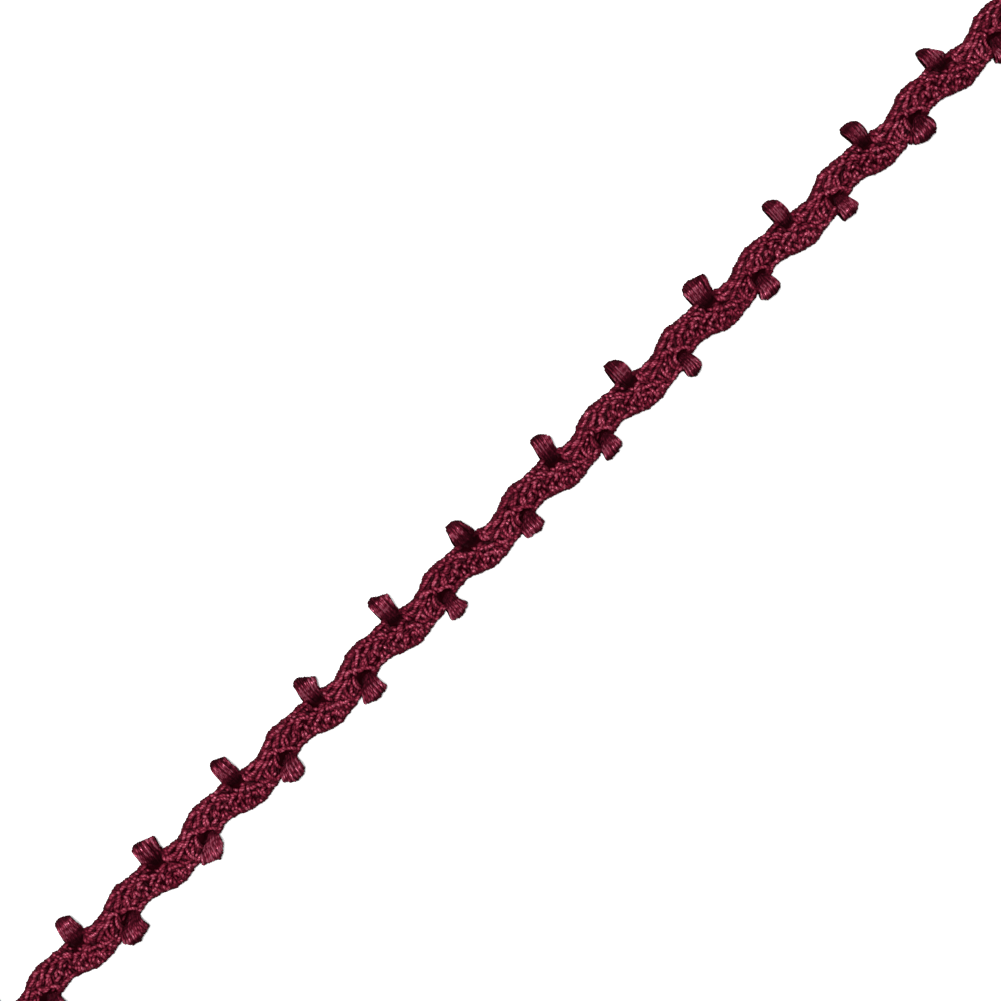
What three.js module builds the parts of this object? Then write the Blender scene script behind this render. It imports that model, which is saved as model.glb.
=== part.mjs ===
// A straight cut length of wavy crochet trim: one braid whose two edges wave from side to side, with
// a picot loop of parallel silky threads on each crest. Millimetres, +Z up, +X along the trim, +Y
// towards the longer row of loops. It lies flat, and its origin is under the middle of its box.
import * as THREE from "three";

// Driving sizes of the trim
const trimLength = 256;
const wave = 19.05;                 // one wave of the braid, and one loop on each edge
const waveStart = -8.16;            // where one of the waves starts, along X
const braidHeight = 2.2;
const edgeHeight = 1.0;             // height at which the braid is widest
const footInset = 0.55;             // the flat underside is this much narrower on each side
const clearance = 0.3;              // between the braid and each loop

// The two wavy edges: a mean distance from the centre line and two harmonics of the wave
const upperEdge = { mean: 2.85, first: 0.65, firstTurn: 2.12, second: 0.33, secondTurn: 0.17 };
const lowerEdge = { mean: -3.4, first: 0.86, firstTurn: 2.43, second: 0.25, secondTurn: -2.48 };

// The raised wales, slanting rows of stitches: two section lines each, one high and one low
const walesPerWave = 9;
const waleRise = 0.26;              // above and below the mean surface
const waleSlant = 2.0;              // how far a wale runs on along X from the centre to an edge
const slantEnd = 14;                // near each cut end the slant dies away over this length
const braidSpans = 10;              // faces across the crowned top
const crownPower = 0.62;            // below 1 it makes the crown fuller than a half ellipse

// The picot loops: a flat band that leaves a pocket in the braid, arches over the edge, turns at its
// tip and comes back underneath
const bandThickness = 0.5;
const threadRise = 0.07;            // the light ridges along the band
const bandSpans = 6;                // faces across the band's outer side, two for each ridge
const bandSteps = 12;               // faces along the band
const pocketShare = 0.8;            // width of the band in its pocket, of its width at the edge
const pocketFloor = 0.8;           // height of the braid that is left under a band
const pocketFlank = 0.75;           // width of the floor beside a band, and of the soft slope past it
const pocketRamp = 1.1;             // length of the slope from the crown down to the pocket's floor

// One row for each loop: the place of its root along X, the width of its root, how far its tip leans
// along X, the width of its tip, and how far its left corner, its crest and its right corner reach
// from the centre line
const columns = ["at", "root", "lean", "tip", "left", "crest", "right"];
const upperLoops = [
  [-122.2, 3.6, 0.1, 3.2, 6.0, 6.5, 5.4],
  [-103.6, 3.8, 0.3, 2.8, 6.2, 6.6, 5.7],
  [-84.7, 4.3, 0.3, 4.4, 5.9, 6.3, 5.1],
  [-65.7, 3.5, 0.0, 3.0, 6.1, 6.8, 5.9],
  [-46.1, 3.4, 0.6, 3.6, 6.0, 6.5, 4.6],
  [-27.0, 3.2, 0.1, 3.8, 6.5, 7.1, 5.7],
  [-8.9, 4.0, 0.1, 2.9, 6.1, 6.5, 5.5],
  [11.4, 3.0, 0.5, 3.1, 6.3, 6.6, 4.9],
  [29.6, 3.3, 0.0, 3.0, 6.0, 6.6, 5.2],
  [48.8, 4.1, 0.2, 4.8, 5.7, 6.6, 5.7],
  [67.9, 2.9, -0.1, 2.7, 6.2, 6.6, 5.6],
  [86.8, 3.0, -0.2, 3.2, 5.9, 6.3, 5.4],
  [105.1, 3.6, -0.3, 3.1, 5.6, 6.2, 4.1],
  [124.1, 3.4, 0.1, 3.2, 6.0, 6.5, 5.4],
];
const lowerLoops = [
  [-114.8, 4.4, -0.2, 4.7, 4.8, 5.8, 5.1],
  [-95.8, 4.5, -0.3, 5.2, 4.6, 5.9, 5.4],
  [-76.6, 4.6, -0.6, 5.0, 4.7, 5.8, 4.5],
  [-57.5, 4.0, -0.5, 4.2, 4.5, 5.9, 5.3],
  [-38.2, 3.9, -0.3, 4.8, 5.1, 5.9, 5.4],
  [-18.3, 2.7, -0.1, 3.9, 5.6, 6.2, 5.5],
  [0.6, 3.9, -0.1, 4.0, 4.8, 5.5, 4.8],
  [19.7, 3.4, -0.3, 3.9, 5.3, 5.5, 4.9],
  [39.1, 2.8, -0.2, 3.1, 5.1, 5.7, 5.0],
  [57.8, 3.5, -0.4, 4.1, 4.9, 5.6, 5.1],
  [76.7, 3.2, -0.1, 3.6, 5.3, 5.6, 5.1],
  [95.1, 4.8, -0.4, 5.4, 4.5, 5.8, 5.2],
  [114.3, 3.2, -0.3, 3.9, 5.0, 5.7, 5.1],
];

// What differs between the two rows: which way the loops point, how far from the centre line the
// band starts in its pocket, and where its crest lies across the band, from -1 at left to 1 at right
const upperRow = { way: 1, pocket: 1.25, crestAt: -0.45, edge: upperEdge };
const lowerRow = { way: -1, pocket: 1.35, crestAt: 0, edge: lowerEdge };

// The band's middle line: its share of the way from the pocket to the tip, and its height
const bandLine = [
  { out: 0.0, up: 1.5 },
  { out: 0.35, up: 1.75 },
  { out: 0.62, up: 2.05 },
  { out: 0.8, up: 1.95 },
  { out: 0.95, up: 1.6 },
  { out: 1.0, up: 1.12 },
  { out: 0.93, up: 0.66 },
  { out: 0.72, up: 0.45 },
  { out: 0.4, up: 0.35 },
];
const returnEnd = bandLine[bandLine.length - 1].out;

const yarnRed = new THREE.Color(0.3, 0.03, 0.07);
const silkRed = new THREE.Color(0.36, 0.04, 0.1);

const clamp = (value, low, high) => Math.min(Math.max(value, low), high);
const mix = (a, b, share) => a + (b - a) * share;

function smooth(low, high, value) {
  const share = clamp((value - low) / (high - low), 0, 1);
  return share * share * (3 - 2 * share);
}

function named(row) {
  return Object.fromEntries(columns.map((column, i) => [column, row[i]]));
}

// Distance of a wavy edge from the centre line at x
function edgeAt(edge, x) {
  const turn = (2 * Math.PI * (x - waveStart)) / wave;
  const first = edge.first * Math.cos(turn + edge.firstTurn);
  return edge.mean + first + edge.second * Math.cos(2 * turn + edge.secondTurn);
}

// Closed solid from rings of points of equal count, with a flat cap at each end that fans out from
// the ring's last point. turned swaps the faces of rings that run the other way round.
function loft(rings, name, material, turned) {
  const count = rings[0].length;
  const positions = rings.flat(2);
  const faces = [];
  const addFace = (a, b, c) => {
    faces.push(a, turned ? c : b, turned ? b : c);
  };
  for (let i = 0; i + 1 < rings.length; i += 1) {
    for (let j = 0; j < count; j += 1) {
      const a = i * count + j;
      const b = i * count + ((j + 1) % count);
      addFace(a, a + count, b);
      addFace(b, a + count, b + count);
    }
  }
  const last = (rings.length - 1) * count;
  const hub = count - 1;
  for (let j = 0; j + 1 < hub; j += 1) {
    addFace(hub, j, j + 1);
    addFace(last + hub, last + j + 1, last + j);
  }
  const geometry = new THREE.BufferGeometry();
  geometry.setAttribute("position", new THREE.Float32BufferAttribute(positions, 3));
  geometry.setIndex(faces);
  geometry.computeVertexNormals();
  const mesh = new THREE.Mesh(geometry, material);
  mesh.name = name;
  return mesh;
}

// How far a point lies inside the pocket of any loop, from 0 outside to 1 under its band
function pocketDepth(x, y) {
  let depth = 0;
  for (const [row, loops] of [[upperRow, upperLoops], [lowerRow, lowerLoops]]) {
    for (const loop of loops.map(named)) {
      const aside = Math.abs(x - loop.at) - loop.root / 2;
      const across = 1 - smooth(pocketFlank, 2 * pocketFlank, aside);
      const along = smooth(row.pocket - 1.3 * pocketRamp, row.pocket - 0.4 * pocketRamp, y * row.way);
      depth = Math.max(depth, across * along);
    }
  }
  return depth;
}

// One slanting section line of the braid, from its lower foot over the crown to its upper foot
function braidRing(lineX, side) {
  const slant = waleSlant * smooth(0, slantEnd, trimLength / 2 - Math.abs(lineX));
  const ring = [];
  const foot = (across) => {
    const x = lineX + slant * across;
    const edge = across < 0 ? edgeAt(lowerEdge, x) : edgeAt(upperEdge, x);
    return [x, edge - Math.sign(across) * footInset, 0];
  };
  for (let j = 0; j <= braidSpans; j += 1) {
    const angle = Math.PI * (1 - j / braidSpans);
    const across = Math.cos(angle);
    const x = lineX + slant * across;
    const y = mix(edgeAt(lowerEdge, x), edgeAt(upperEdge, x), (across + 1) / 2);
    const rise = Math.sin(angle) ** crownPower;
    const crown = mix(edgeHeight, braidHeight, rise) + side * waleRise * rise;
    const floor = Math.min(crown, pocketFloor);
    ring.push([x, y, mix(crown, floor, pocketDepth(x, y))]);
  }
  ring.push(foot(1));
  ring.push(foot(-1));
  return ring;
}

function braidBody(material) {
  const lines = Math.round((trimLength * walesPerWave * 2) / wave);
  const rings = [];
  for (let i = 0; i <= lines; i += 1) {
    const x = trimLength * (i / lines - 0.5);
    rings.push(braidRing(x, i % 2 === 0 ? 1 : -1));
  }
  return loft(rings, "braid_body", material, false);
}

// How far the band reaches at a place across it, from -1 at its left edge to 1 at its right edge
function bandReach(loop, crestAt, across) {
  const corner = across < crestAt ? loop.left : loop.right;
  const far = across < crestAt ? -1 - crestAt : 1 - crestAt;
  return mix(loop.crest, corner, ((across - crestAt) / far) ** 2);
}

// One cross-section of a band: ridged on its outer side, flat on its inner side. On its way out it
// starts in the pocket, and on its way back it ends beside the wavy edge.
function bandRing(loop, row, out, up, normal, returning) {
  const start = row.pocket;
  const edgeShare = (Math.abs(edgeAt(row.edge, loop.at)) - start) / (loop.crest - start);
  const opening = smooth(0, edgeShare, out);
  const towardTip = smooth(edgeShare, 1, out);
  const width = mix(mix(pocketShare, 1, opening) * loop.root, loop.tip, towardTip);
  const middle = loop.at + loop.lean * towardTip;
  const share = returning ? (out - returnEnd) / (1 - returnEnd) : out;
  const point = (across, lift) => {
    const x = middle + (across * width) / 2;
    const wall = Math.abs(edgeAt(row.edge, x)) + 1.3 * clearance;
    const tip = Math.max(bandReach(loop, row.crestAt, across), wall + 1.3 * bandThickness);
    const reach = tip - 0.5 * bandThickness;
    const base = returning ? wall : start;
    const y = base + (reach - base) * share + normal.y * lift;
    return [x, row.way * y, up + normal.z * lift];
  };
  const ring = [];
  for (let j = 0; j <= bandSpans; j += 1) {
    const ridge = j % 2 === 1 ? threadRise : -threadRise;
    ring.push(point((2 * j) / bandSpans - 1, bandThickness / 2 + ridge));
  }
  ring.push(point(1, -bandThickness / 2));
  ring.push(point(-1, -bandThickness / 2));
  return ring;
}

function picotLoop(loop, row, name, material) {
  const knots = bandLine.map((knot) => new THREE.Vector3(knot.out, knot.up, 0));
  const line = new THREE.CatmullRomCurve3(knots);
  const reach = loop.crest - row.pocket;
  const rings = [];
  for (let i = 0; i <= bandSteps; i += 1) {
    const at = line.getPoint(i / bandSteps);
    const tangent = line.getTangent(i / bandSteps);
    const flat = Math.hypot(tangent.x * reach, tangent.y);
    const normal = { y: -tangent.y / flat, z: (tangent.x * reach) / flat };
    rings.push(bandRing(loop, row, at.x, at.y, normal, tangent.x < 0));
  }
  return loft(rings, name, material, row.way > 0);
}

function loopRow(loops, row, name, material) {
  const group = new THREE.Group();
  loops.map(named).forEach((loop, i) => {
    const number = String(i + 1).padStart(2, "0");
    group.add(picotLoop(loop, row, `${name}_${number}`, material));
  });
  return group;
}

const yarn = new THREE.MeshStandardMaterial({ color: yarnRed, roughness: 0.55, metalness: 0 });
const silk = new THREE.MeshStandardMaterial({ color: silkRed, roughness: 0.4, metalness: 0 });

const trim = new THREE.Group();
trim.add(braidBody(yarn));
trim.add(loopRow(upperLoops, upperRow, "loop_upper", silk));
trim.add(loopRow(lowerLoops, lowerRow, "loop_lower", silk));

// The origin goes under the middle of the box
const box = new THREE.Box3().setFromObject(trim);
trim.position.set(-(box.min.x + box.max.x) / 2, -(box.min.y + box.max.y) / 2, -box.min.z);
trim.updateMatrixWorld(true);

export default trim;
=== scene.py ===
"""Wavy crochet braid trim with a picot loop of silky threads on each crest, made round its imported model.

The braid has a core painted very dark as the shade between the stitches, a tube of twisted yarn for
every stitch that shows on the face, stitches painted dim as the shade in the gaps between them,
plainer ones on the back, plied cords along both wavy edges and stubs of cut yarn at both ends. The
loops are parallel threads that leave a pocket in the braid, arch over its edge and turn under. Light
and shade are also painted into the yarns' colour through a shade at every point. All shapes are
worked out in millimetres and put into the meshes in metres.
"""
import math

import bpy
import numpy as np
from bpy.props import FloatProperty, FloatVectorProperty, IntProperty, PointerProperty
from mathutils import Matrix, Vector


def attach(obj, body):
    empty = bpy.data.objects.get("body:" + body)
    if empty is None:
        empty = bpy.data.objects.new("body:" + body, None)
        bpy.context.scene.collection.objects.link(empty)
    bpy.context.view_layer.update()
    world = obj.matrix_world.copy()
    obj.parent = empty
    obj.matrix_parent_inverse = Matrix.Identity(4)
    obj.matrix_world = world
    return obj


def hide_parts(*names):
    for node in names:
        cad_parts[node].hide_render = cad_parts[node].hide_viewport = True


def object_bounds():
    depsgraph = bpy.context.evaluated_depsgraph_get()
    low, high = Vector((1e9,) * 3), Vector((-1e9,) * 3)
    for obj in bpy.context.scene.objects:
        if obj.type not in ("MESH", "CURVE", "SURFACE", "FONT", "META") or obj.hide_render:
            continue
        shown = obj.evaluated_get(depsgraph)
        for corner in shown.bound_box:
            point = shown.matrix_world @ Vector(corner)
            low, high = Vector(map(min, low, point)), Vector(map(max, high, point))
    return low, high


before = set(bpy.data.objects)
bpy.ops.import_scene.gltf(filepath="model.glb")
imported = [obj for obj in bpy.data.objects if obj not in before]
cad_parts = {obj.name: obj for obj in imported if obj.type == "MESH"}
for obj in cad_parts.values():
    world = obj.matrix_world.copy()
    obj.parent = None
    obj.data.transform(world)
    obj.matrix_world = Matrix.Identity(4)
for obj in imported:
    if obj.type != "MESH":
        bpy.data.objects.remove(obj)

bl_info = {
    "name": "Crochet picot trim",
    "version": (1, 0, 0),
    "blender": (4, 5, 0),
    "location": "3D View > Sidebar > Trim",
    "description": "A straight cut length of wavy crochet braid trim with picot loops",
    "category": "Add Mesh",
}

MM = 0.001
HALF_LENGTH = float(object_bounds()[1][0]) / MM
YARN_END = HALF_LENGTH - 0.1  # where the yarns stop at the cut ends
CENTRE_LINE = -0.3996  # where the trim's centre line lies across the frame
SQUARE = 0.17  # one chart square
LOWEST = 0.01  # no yarn reaches under this height
PLY_PITCH, THREAD_PITCH = 0.5, 0.9  # length of one turn of the braid's yarn and of the loops' threads
POLE = 0.45  # how far past its last ring a tube ends, as a share of its radius
ALONG, ACROSS, UP = np.eye(3)

# The braid, as the frame's source has it: a wave, and two edges with two harmonics of that wave
WAVE = 19.05
WAVE_START = -8.16
UPPER_EDGE = (2.85, 0.65, 2.12, 0.33, 0.17)
LOWER_EDGE = (-3.4, 0.86, 2.43, 0.25, -2.48)
EDGE_HEIGHT = 1.0
BRAID_HEIGHT = 2.2
CROWN_POWER = 0.31
POCKET_WIDTH = 2.5
POCKET_HALF = 0.46  # how far a pocket reaches to each side, as a share of its width
POCKET_FLANK = 0.4
POCKET_RAMP = 1.0
POCKET_ARCH = 0.6  # how much later a pocket starts at its sides than in its middle
POCKET_OPEN = 3.2  # where a pocket is as wide as the root of its loop

# One repeat of the face, charted on squares of 0.17 mm. Each row is one stitch that shows:
# the width of its lit part, how deep it lies, and its line as (along, across) from the centre line.
CHART_REPEAT = 112.06
CHART_SHIFT = -1.25  # how far the whole chart is moved along to meet the wave
STITCHES = (
    # Crest of the wave, left of the upper loop
    (2.6, 0, (-33, 8.2), (-28, 8.9), (-22.5, 7.8)),
    (2.8, 0, (-40, 8.5), (-41.4, 5.5), (-41.2, 2.5), (-39.5, 1)),
    (3.2, 0, (-38.2, 4.2), (-37.6, 1.5), (-36.5, -0.8)),
    (3, 0, (-36, 4.2), (-33, 2.6), (-30, 2), (-28, 1.8)),
    (2.4, 0, (-36.5, 8.2), (-34.8, 6.5)),
    (2.6, 0, (-25.5, 3), (-22, 3.6), (-17, 2.8)),
    (2.6, 0, (-24.5, 4.8), (-21, 5.8), (-16.5, 4.8)),
    (3, 0, (-32.5, -5.2), (-28, -3.8), (-23, -2)),
    (2.8, 0, (-47.3, 2.3), (-45.2, 1.6)),
    (3, 0, (-46, -6.2), (-44, -3.4)),
    (3.2, 0, (-43.5, -5.5), (-40.5, -7.2), (-37, -7.9)),
    (3, 0, (-36, -9), (-34.8, -10.5), (-33.5, -12.8)),
    (2.8, 0, (-31.3, -8.8), (-30.8, -11.5), (-28.8, -13.3), (-26, -14), (-23.2, -14.3)),
    (2.4, 0, (-25.3, -6.3), (-24.8, -9), (-24.3, -11.8)),
    (2.6, 0, (-19, -4), (-20.5, -7), (-21, -10), (-20.5, -14), (-19.3, -17.5)),
    (2.6, 0, (-45.5, -12.5), (-43.3, -11.6), (-42.4, -13.8), (-43, -16.2)),
    (2.4, 0, (-40.3, -11.5), (-40, -15), (-40.6, -19), (-40.3, -22)),
    (2.5, 0, (-38.5, -16.6), (-36.5, -16), (-34.5, -16.4)),
    (2.2, 0, (-37.2, -17.5), (-37.2, -20.5)),
    (2.6, 0, (-30.2, -16.5), (-30, -19.3)),
    (2.2, 0, (-27.8, -16.2), (-27.3, -18)),
    (2.2, 0, (-27, -19.3), (-25, -20), (-22.5, -20.8)),
    (2.2, 0, (-45.6, -22.3), (-44.4, -22.3)),
    (2.2, 0, (-35.1, -22.3), (-33.9, -22.3)),
    # Slope towards the centre, with the pocket of the lower loop
    (2.8, 0, (-14.8, 6), (-12.5, 6.8), (-10.8, 7.6)),
    (2.8, 0, (-10, 7.8), (-8.3, 8.6), (-6.8, 9)),
    (3.4, 0, (-10, 3.2), (-7.2, 4.9), (-4.3, 4.7), (-2, 2.6)),
    (2.4, 0, (-1.3, 2), (-1.6, -1)),
    (3, 0, (-20, -0.6), (-16, 0), (-12.5, 0.8)),
    (2.6, 0, (-13.1, -3.7), (-12.1, -3.3)),
    (2, 0, (-9.8, -2.2), (-9, -1.8)),
    (2.8, 0, (-4.5, 11.9), (-1, 12.4), (1.5, 12.8), (4.2, 13.8)),
    (3.6, 0, (5.5, 15.2), (8.5, 16.3), (12.5, 15.6)),
    (3, 0, (1.8, 6), (4, 7.3), (6.3, 8.4)),
    (3, 0, (5, 5.5), (7.3, 7), (9.3, 8.2)),
    (3.4, 0, (9.6, 8.6), (12.3, 10.3), (15, 12.2)),
    (3, 0, (1.6, 3.2), (2.6, 1), (3.6, -0.6)),
    (2.8, 0, (4, -0.4), (7, -1.2), (10, -2.2)),
    (2, 0, (3.5, -2.6), (6.5, -3.5), (8.5, -3.6)),
    (2.3, 0, (-5.2, -2.8), (-7.3, -5), (-8.7, -8), (-9.3, -11), (-8.3, -14)),
    (2.3, 0.3, (-4.5, -5), (-6.3, -9), (-5.8, -13.5)),
    (2.6, 0, (1.5, -4.5), (-1.5, -5.2), (-3, -8), (-3.6, -11), (-2, -14)),
    (2.5, 0, (-12.8, -7.3), (-15.5, -9.5), (-18.2, -12.5)),
    (2.2, 0, (-16.8, -14.5), (-15.8, -14.1)),
    (2.6, 0, (-19.5, -19.6), (-16.5, -19), (-14.5, -17.8)),
    (2.6, 0, (-13.8, -17.3), (-12, -17.4), (-9, -16.2)),
    (2.4, 0, (-8, -15.8), (-6, -14.8), (-4.2, -15)),
    (2.2, 0, (-7.5, -18.3), (-5, -18), (-3, -18.2)),
    # Top of the wave, right of the lower loop
    (2.8, 0, (15.3, 14.8), (17, 13.4)),
    (3, 0, (19, 14.2), (21.5, 15), (24.5, 14)),
    (3, 0, (17, 7.3), (18.5, 5.5)),
    (3.2, 0, (20, 7.4), (23.5, 8), (27, 9.2)),
    (2.7, 0, (10.8, -1.8), (11.3, 1.2), (13, 3.8), (15.2, 4.8)),
    (2.7, 0, (16.8, 3.4), (15.3, 0.5), (13.6, -2.4)),
    (2.8, 0, (17.8, -3.4), (20.3, -4), (23.3, -3.2)),
    (2.6, 0, (23.2, -0.5), (24.5, 1.3), (26.3, 3)),
    (2.8, 0, (27.8, 2.2), (28.8, -0.5), (28.6, -3.2)),
    (2.8, 0, (31.3, 2.2), (33.3, 3.6), (35.8, 5.8)),
    (3, 0, (11, -4.2), (13.5, -5.5), (15.5, -7.8), (17, -10)),
    (2.2, 0, (14.5, -9.8), (15.5, -9.4)),
    (2.6, 0, (31.8, -4.8), (30.8, -6.8), (30.3, -8.8)),
    (2.5, 0, (34.9, -5.2), (34.5, -8.6)),
    (2.4, 0, (17.5, -12.5), (18.8, -13.6)),
    (2.4, 0, (20, -11), (22.5, -10.3), (24.5, -10.2)),
    (2.6, 0, (25, -9.9), (27.5, -10.2), (29.3, -11)),
    (2.2, 0, (31.5, -11.2), (34, -11.6), (37, -11.8)),
    (2, 0.3, (20, -7.6), (22.5, -7.2)),
    (2.6, 0, (27, 11.6), (29.5, 11.4), (32.3, 10.3)),
    (2.8, 0, (33.5, 13), (34.5, 11.3)),
    (2.4, 0, (29.3, 17.5), (28, 15)),
    # Slope away from the centre
    (2.4, 0, (40.3, 7.9), (42.2, 7), (44, 5), (45.2, 2.8)),
    (2.6, 0, (43, 10), (45, 9), (47, 7)),
    (2.2, 0, (47.6, 5.6), (48.2, 3.8)),
    (2.8, 0, (34.3, 6.8), (36, 5.5), (38.3, 5.9)),
    (2, 0, (37.5, 9.5), (39.5, 9)),
    (2, 0, (35.5, 1.2), (37.5, 1.5)),
    (2.6, 0, (35, 17.2), (37, 16.3)),
    (2.3, 0, (40, 15.8), (42.8, 14.6)),
    (2.2, 0, (47.3, 14.6), (50, 14.4), (52.3, 14.2)),
    (2, 0, (53.5, 14.3), (55.5, 13.8)),
    (2, 0, (37.3, 13), (39, 12.3)),
    (3, 0.3, (54, 11.5), (54.6, 8.5), (54.2, 5.5)),
    (1.8, 0, (51.5, 9.6), (52.2, 8.3)),
    (3, 0, (50.8, 2.4), (53, 1.2), (55.3, -0.3)),
    (2.4, 0, (57.5, 2.8), (58.8, 1.2)),
    (2.4, 0, (60.2, -0.2), (62.2, 1.4), (64.6, 1)),
    (2.4, 0, (61, -2.2), (63.3, -2.4), (65, -1.6)),
    (2.6, 0, (43.8, -2.2), (45.8, -1.5), (48, -0.5)),
    (2.4, 0, (49.3, -0.2), (50.5, -1)),
    (2.6, 0, (54.2, -6.8), (55.3, -4.4), (57.6, -3.1)),
    (2.6, 0, (58.6, -3.6), (59, -5.6), (57.6, -8)),
    (2.2, 0, (50.8, -6.8), (52.8, -6.1)),
    (2.8, 0, (47.8, -5.8), (47.4, -8.5)),
    (2.6, 0, (38.8, -2), (39, -4.2)),
    (2, 0.3, (40.5, -4.5), (41.6, -7)),
    (2, 0, (41.8, -9.2), (43, -7.9)),
    (2.2, 0, (44.6, -9), (44.2, -10.6)),
    (2.6, 0, (41.6, -12.2), (43.2, -13)),
    (2.6, 0, (45.4, -11.6), (46.3, -14), (47, -15.4)),
    (2.6, 0, (51.5, -13), (51.8, -15.2)),
    (2.2, 0, (52.3, -16.5), (52.2, -18.5)),
    (2, 0, (54.5, -16.5), (54.3, -18.2)),
    (2.6, 0, (59, -10.8), (57.3, -12.8), (56.3, -14.8)),
    (2.6, 0, (62, -13.3), (60.6, -14.2), (59.2, -15.8)),
    (2.6, 0, (61, -9), (63, -10.6), (64.8, -10)),
    (2.2, 0, (63, -17.5), (62.4, -19), (62, -21)),
    (2.2, 0.3, (57, -20), (57.5, -22)),
    (2.2, 0.3, (61, -22.3), (62, -22.3)),
)
# How far each repeat is shifted along from an even spacing, in chart squares, from the left end
REPEAT_SHIFTS = (0, 0, -2.2, -1.0, -0.3, -0.1, 1.1, 1.25, 0.9, 0.65, 0.8, -0.45, -0.8, 0, 0)
MIDDLE_REPEAT = 7

# The loops, one row for each, in millimetres. The first seven columns are the frame's: the place of a
# root along the trim, its width, how far the tip leans along, the tip's width, and how far its left
# corner, its crest and its right corner reach from the centre line. Then how far the pocket lies along
# from the root, where the threads come into the light and where they turn down from it, where a fold
# lies across the band, or 0, and the crest, both from -1 at left to 1 at right, and the powers of the
# curves to the two corners.
UPPER_LOOPS = (
    (-122.2, 3.6, 0.1, 3.2, 6, 6.5, 5.4, -0.2, 3.25, 5, 0, -0.45, 3, 2),
    (-103.6, 3.8, 0.3, 2.8, 6.2, 6.6, 5.7, -0.5, 3.35, 5.2, 0, -0.5, 2, 2.2),
    (-84.7, 4.3, 0.3, 4.4, 5.9, 6.3, 5.1, -0.35, 3.15, 5.2, 0.5, -0.5, 2.2, 1),
    (-65.7, 3.5, 0, 3, 6.1, 6.8, 5.9, -0.05, 3.35, 5.4, 0.75, -0.3, 3, 1.3),
    (-46.1, 3.4, 0.6, 3.6, 6, 6.5, 4.6, -0.15, 2.85, 4.7, 0, -0.2, 4.5, 1),
    (-27, 3.2, 0.1, 3.8, 6.5, 7.1, 5.7, -0.15, 3.65, 5.6, 0.6, -0.2, 4.5, 0.8),
    (-8.9, 4, 0.1, 2.9, 6.1, 6.5, 5.5, 0.3, 4.15, 4.9, 0.6, -0.8, 2, 4),
    (11.4, 3, 0.5, 3.1, 6.3, 6.6, 4.9, -0.5, 3.65, 5.4, 0, -0.6, 4.5, 3),
    (29.6, 3.3, 0, 3, 6, 6.6, 5.2, -0.15, 3.05, 4.5, 0, -0.8, 1.7, 3),
    (48.8, 4.1, 0.2, 4.8, 5.7, 6.6, 5.7, 0, 3.25, 4.9, 0.65, -0.1, 4.5, 0.8),
    (67.9, 2.9, -0.1, 2.7, 6.2, 6.6, 5.6, -0.25, 2.85, 4.9, 0, -0.5, 4.5, 2.2),
    (86.8, 3, -0.2, 3.2, 5.9, 6.3, 5.4, -0.2, 3.05, 4.4, 0, -0.8, 2, 2.7),
    (105.1, 3.6, -0.3, 3.1, 5.6, 6.2, 4.1, 0.1, 2.85, 4.4, 0, -0.7, 4.5, 2.2),
    (124.1, 3.4, 0.1, 3.2, 6, 6.5, 5.4, 0, 3.15, 4.9, 0, -0.45, 3, 2),
)
LOWER_LOOPS = (
    (-114.8, 4.4, -0.2, 4.7, 4.8, 5.8, 5.1, 0.8, 3.4, 4.8, 0, 0, 3, 3),
    (-95.8, 4.5, -0.3, 5.2, 4.6, 5.9, 5.4, 1.3, 3.6, 4.8, 0, -0.1, 3, 1.3),
    (-76.6, 4.6, -0.6, 5, 4.7, 5.8, 4.5, 1.3, 2.6, 5.1, 0, 0.2, 1.3, 1.3),
    (-57.5, 4, -0.5, 4.2, 4.5, 5.9, 5.3, 1, 2.9, 5.1, 0, 0.5, 3, 1),
    (-38.2, 3.9, -0.3, 4.8, 5.1, 5.9, 5.4, 0.75, 3.4, 4.9, 0, -0.3, 1, 3),
    (-18.3, 2.7, -0.1, 3.9, 5.6, 6.2, 5.5, 0.25, 3.7, 5.3, 0, -0.4, 1.3, 1.7),
    (0.6, 3.9, -0.1, 4, 4.8, 5.5, 4.8, 0.75, 3.6, 4.6, 0, 0, 0.8, 3),
    (19.7, 3.4, -0.3, 3.9, 5.3, 5.5, 4.9, 0.4, 3.1, 4.4, 0, 0, 4.5, 1.3),
    (39.1, 2.8, -0.2, 3.1, 5.1, 5.7, 5, -0.1, 3.3, 4.8, 0, 0.1, 4.5, 2.2),
    (57.8, 3.5, -0.4, 4.1, 4.9, 5.6, 5.1, 0.2, 3.2, 4.6, 0, 0.3, 4.5, 3),
    (76.7, 3.2, -0.1, 3.6, 5.3, 5.6, 5.1, 0.1, 3.1, 4.7, 0, 0.3, 2.2, 0.8),
    (95.1, 4.8, -0.4, 5.4, 4.5, 5.8, 5.2, 0.85, 3.6, 4.5, 0, 0.6, 3, 1.3),
    (114.3, 3.2, -0.3, 3.9, 5, 5.7, 5.1, 0.4, 3.4, 4.8, 0, 0, 4.5, 2),
)
# For each row of loops: which way it points, where its threads start in the pocket, how late the band
# widens towards its tip, how ragged the tip is and how far it reaches past its corners and crest, and
# how bright the threads are deep in the pocket, where they are lit, and at the tip
UPPER_ROW = {"way": 1, "pocket": 0.8, "flare": 1.0, "ragged": 0.03, "past": 0.1,
             "deep": 0.05, "lit": 1.2, "tip": 0.55, "edge": UPPER_EDGE, "loops": UPPER_LOOPS}
LOWER_ROW = {"way": -1, "pocket": 1.3, "flare": 1.2, "ragged": 0.09, "past": 0.05,
             "deep": 0.44, "lit": 1.1, "tip": 0.3, "edge": LOWER_EDGE, "loops": LOWER_LOOPS}

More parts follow.
